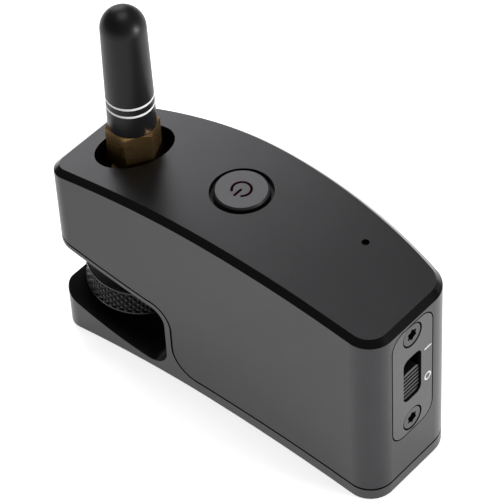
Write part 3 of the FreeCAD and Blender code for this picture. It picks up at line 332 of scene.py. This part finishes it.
for i, rz in enumerate(ring_zs):
    z0, z1 = rz - ring_w / 2, rz + ring_w / 2
    p = [(taper(z0) - 0.2 * MM, z0), (taper(z0) + 0.005 * MM, z0), (taper(rz) + 0.02 * MM, rz), (taper(z1) + 0.005 * MM, z1), (taper(z1) - 0.2 * MM, z1)]
    r = lathe("antenna_ring_%d" % (i + 1), p, 96, M["white"], place, closed=True, deg=50)
    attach(r, "antenna")
    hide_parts("antenna_rings")

# ------------------------------------------------------------------ knurled thumbwheel
R0 = 9.43 * MM
TH = 5.46 * MM
CH = 0.2 * MM
BEAD = 0.6 * MM
HUB = 2.45 * MM
N = 42
SUB = 14
SEG = N * SUB
ROWS = 33
zax = AXIS
yax = Vector((0, 1, 0))
xax = yax.cross(zax).normalized()
rot = Matrix((xax, yax, zax)).transposed().to_4x4()
wheel_place = Matrix.Translation(FOOT) @ rot
verts, faces = [], []


def ring_pts(r, z, rf=None):
    idx = []
    for k in range(SEG):
        a = 2 * math.pi * k / SEG
        rr = r if rf is None else rf(k, z)
        idx.append(len(verts))
        verts.append(Vector((rr * math.cos(a), rr * math.sin(a), z)))
    return idx


band0, band1 = -TH + BEAD, -BEAD
pitch_z = (band1 - band0) / 3.0
DEPTH = 0.48 * MM


def knurl(k, z):
    u = k / float(SUB)
    w = (z - band0) / pitch_z
    a = (u + w) % 1.0
    b = (u - w) % 1.0
    da = 1 - abs(2 * a - 1)
    db = 1 - abs(2 * b - 1)
    h = min(da, db)
    h = min(1.0, h * 1.6)
    return R0 - DEPTH * (1 - h)


seq = []
seq.append(ring_pts(HUB + 0.02 * MM, -0.25 * MM))
seq.append(ring_pts(HUB + 0.3 * MM, 0.0))
seq.append(ring_pts(R0 - CH, 0.0))
seq.append(ring_pts(R0, -CH))
seq.append(ring_pts(R0, -BEAD + 0.12 * MM))
seq.append(ring_pts(R0 - DEPTH - 0.02 * MM, -BEAD + 0.02 * MM))
for i in range(ROWS + 1):
    z = band1 + (band0 - band1) * i / ROWS
    seq.append(ring_pts(0, z, knurl))
seq.append(ring_pts(R0 - DEPTH - 0.02 * MM, -TH + BEAD - 0.02 * MM))
seq.append(ring_pts(R0, -TH + BEAD - 0.12 * MM))
seq.append(ring_pts(R0, -TH + CH))
seq.append(ring_pts(R0 - CH, -TH))
seq.append(ring_pts(3.6 * MM, -TH))
seq.append(ring_pts(3.45 * MM, -TH + 0.1 * MM))
seq.append(ring_pts(3.45 * MM, -TH + 1.0 * MM))
seq.append(ring_pts(HUB + 0.02 * MM, -TH + 1.0 * MM))
seq.append(seq[0])
for a, b in zip(seq[:-1], seq[1:]):
    for k in range(SEG):
        k2 = (k + 1) % SEG
        faces.append((a[k], a[k2], b[k2], b[k]))
verts = [wheel_place @ v for v in verts]
wheel = obj_from("clamp_wheel_knurled", verts, faces, M["wheel"])
bm = bmesh.new()
bm.from_mesh(wheel.data)
bmesh.ops.recalc_face_normals(bm, faces=bm.faces)
bm.to_mesh(wheel.data)
bm.free()
sharp_smooth(wheel, 22)
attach(wheel, "clamp_knob")
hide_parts("clamp_wheel")

# ------------------------------------------------------------------ generic I / O marks beside the switch
plo, phi_ = lo_hi(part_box("end_panel"))
klo, khi = lo_hi(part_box("switch_slider"))
face_x = phi_.x
mark_y = phi_.y - 1.13 * MM


def plate(name, pts, x0, x1, mat):
    """Flat shape in the y-z plane from x0 to x1."""
    n = len(pts)
    vs = [Vector((x0, p[0], p[1])) for p in pts] + [Vector((x1, p[0], p[1])) for p in pts]
    fs = [tuple(range(n - 1, -1, -1)), tuple(range(n, 2 * n))]
    for i in range(n):
        j = (i + 1) % n
        fs.append((i, j, n + j, n + i))
    o = obj_from(name, vs, fs, mat)
    bm_ = bmesh.new()
    bm_.from_mesh(o.data)
    bmesh.ops.recalc_face_normals(bm_, faces=bm_.faces)
    bm_.to_mesh(o.data)
    bm_.free()
    return o


ink0, ink1 = face_x - 0.01 * MM, face_x + 0.012 * MM
zi = klo.z + 8.15 * MM
w, l = 0.16 * MM, 0.85 * MM
bar = plate("mark_on", [(mark_y - l, zi - w), (mark_y + l, zi - w), (mark_y + l, zi + w), (mark_y - l, zi + w)], ink0, ink1, M["ink"])
zo = klo.z + 1.4 * MM
seg = 48
vs, fs = [], []
for x in (ink0, ink1):
    for r in (0.85 * MM, 0.55 * MM):
        for k in range(seg):
            a = 2 * math.pi * k / seg
            vs.append(Vector((x, mark_y + r * math.cos(a), zo + r * math.sin(a))))


def vi(layer, ringi, k):
    return layer * 2 * seg + ringi * seg + (k % seg)


for k in range(seg):
    fs.append((vi(0, 0, k), vi(0, 1, k), vi(0, 1, k + 1), vi(0, 0, k + 1)))
    fs.append((vi(1, 0, k), vi(1, 0, k + 1), vi(1, 1, k + 1), vi(1, 1, k)))
    fs.append((vi(0, 0, k), vi(0, 0, k + 1), vi(1, 0, k + 1), vi(1, 0, k)))
    fs.append((vi(0, 1, k + 1), vi(0, 1, k), vi(1, 1, k), vi(1, 1, k + 1)))
zero = obj_from("mark_off", vs, fs, M["ink"])
for o in (bar, zero):
    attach(o, "block")

# ------------------------------------------------------------------ floor, lights, camera
bpy.ops.mesh.primitive_plane_add(size=3.0, location=(0, 0, 0))
floor = bpy.context.object
floor.name = "floor"
fm, fnt, fb = new_mat("floor_pale")
fb.inputs["Base Color"].default_value = (0.92, 0.92, 0.92, 1)
fb.inputs["Roughness"].default_value = 0.8
fb.inputs["Specular IOR Level"].default_value = 0.1
fb.inputs["Emission Color"].default_value = (1, 1, 1, 1)
fb.inputs["Emission Strength"].default_value = 0.70
floor.data.materials.append(fm)

world = bpy.context.scene.world or bpy.data.worlds.new("World")
bpy.context.scene.world = world
world.use_nodes = True
bg = world.node_tree.nodes.get("Background")
bg.inputs["Color"].default_value = (1, 1, 1, 1)
bg.inputs["Strength"].default_value = 0.10


def area(name, loc, target, sx, sy, power, color=(1, 1, 1)):
    d = bpy.data.lights.new(name, "AREA")
    d.shape = "RECTANGLE"
    d.size, d.size_y = sx, sy
    d.energy = power
    d.color = color
    o = bpy.data.objects.new(name, d)
    o.location = loc
    o.rotation_euler = (Vector(target) - Vector(loc)).to_track_quat("-Z", "Y").to_euler()
    bpy.context.scene.collection.objects.link(o)
    return o


area("key_back_left", (-0.60, 0.42, 0.40), (0, 0, 0.03), 0.46, 0.46, 2.2)
area("overhead", (-0.10, 0.10, 1.00), (0, 0, 0), 0.60, 0.60, 4.5)
area("right_fill", (0.62, 0.22, 0.10), (0.03, 0, 0.015), 0.20, 0.16, 3.6)
area("back_horizon", (0.0, 1.10, 0.20), (0, 0, 0.05), 1.60, 0.36, 0.4)

# camera: 45.6 degrees down, looking back and to the left along a long lens
th, ro, yaw = math.radians(45.5671), math.radians(-3.3873), math.radians(42.9258)
loc = Vector((0.2471025 - 0.0338035, -0.2174814 - 0.013647, 0.3482277))
fwd = Vector((-math.sin(yaw) * math.cos(th), math.cos(yaw) * math.cos(th), -math.sin(th)))
right = Vector((math.cos(yaw), math.sin(yaw), 0))
up = right.cross(fwd)
r2 = right * math.cos(ro) + up * math.sin(ro)
u2 = up * math.cos(ro) - right * math.sin(ro)
mw = Matrix((r2, u2, -fwd)).transposed().to_4x4()
mw.translation = loc
cam_d = bpy.data.cameras.new("camera")
cam_d.sensor_width = 36.0
cam_d.lens = 2762.99 / 500 * 36.0
cam_d.clip_start = 0.01
cam = bpy.data.objects.new("camera", cam_d)
cam.matrix_world = mw
bpy.context.scene.collection.objects.link(cam)
bpy.context.scene.camera = cam
bpy.context.scene.view_settings.view_transform = "Standard"
